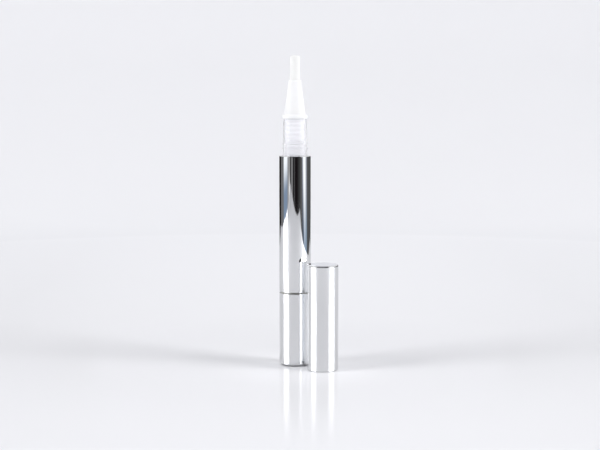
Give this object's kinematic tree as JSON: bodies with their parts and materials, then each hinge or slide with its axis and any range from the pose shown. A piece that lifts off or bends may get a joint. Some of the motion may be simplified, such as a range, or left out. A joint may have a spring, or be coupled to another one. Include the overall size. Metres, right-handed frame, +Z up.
{
  "type": "nail oil pen",
  "caption": "Slim twist-up cosmetic pen in polished metal, standing on its turning knob with a brush tip up and its cap off beside it.",
  "frame": {"origin": "centre of the knob's flat foot, on the surface that the pen stands on", "axes": "+Z up the pen's axis to the brush; the cap stands beside it towards +X and -Y; the picture looks along +Y"},
  "size_m": [0.0223, 0.0216, 0.118],
  "materials": {
    "polished_aluminium": "mirror polished and clear lacquered",
    "clear_polypropylene": "clear moulded",
    "milky_polypropylene": "translucent white moulded",
    "white_nylon": "fine drawn filaments",
    "white_acetal": "moulded",
    "soft_polyethylene": "translucent moulded"
  },
  "bodies": {
    "barrel": {"barrel_shell": "polished_aluminium", "reservoir": "clear_polypropylene", "nozzle": "milky_polypropylene", "feed_pipe": "milky_polypropylene", "brush": "white_nylon", "drive_nut": "white_acetal"},
    "knob": {"knob_shell": "polished_aluminium", "knob_core": "white_acetal", "pawl_ring": "white_acetal"},
    "screw": {"lead_screw": "white_acetal"},
    "plunger": {"piston": "soft_polyethylene"},
    "cap": {"cap_shell": "polished_aluminium", "cap_liner": "milky_polypropylene"}
  },
  "joints": [
    {"name": "knob_turn", "type": "hinge", "parent": "barrel", "child": "knob", "pos_m": [0, 0, 0.028], "axis": [0, 0, 1], "range_deg": [0, 6480], "deforming": ["pawl_ring"]},
    {"name": "screw_feed", "type": "slide", "parent": "knob", "child": "screw", "axis": [0, 0, 1], "range_m": [0, 0.0288]},
    {"name": "piston_feed", "type": "slide", "parent": "barrel", "child": "plunger", "axis": [0, 0, 1], "range_m": [0, 0.0288]},
    {"name": "cap_lift", "type": "slide", "parent": "barrel", "child": "cap", "axis": [0, 0, 1], "range_m": [0, 0.13]}
  ],
  "couplings": [
    {"joint": "screw_feed", "follows": "knob_turn", "m_per_rad": 0.00025464},
    {"joint": "piston_feed", "follows": "knob_turn", "m_per_rad": 0.00025464}
  ]
}
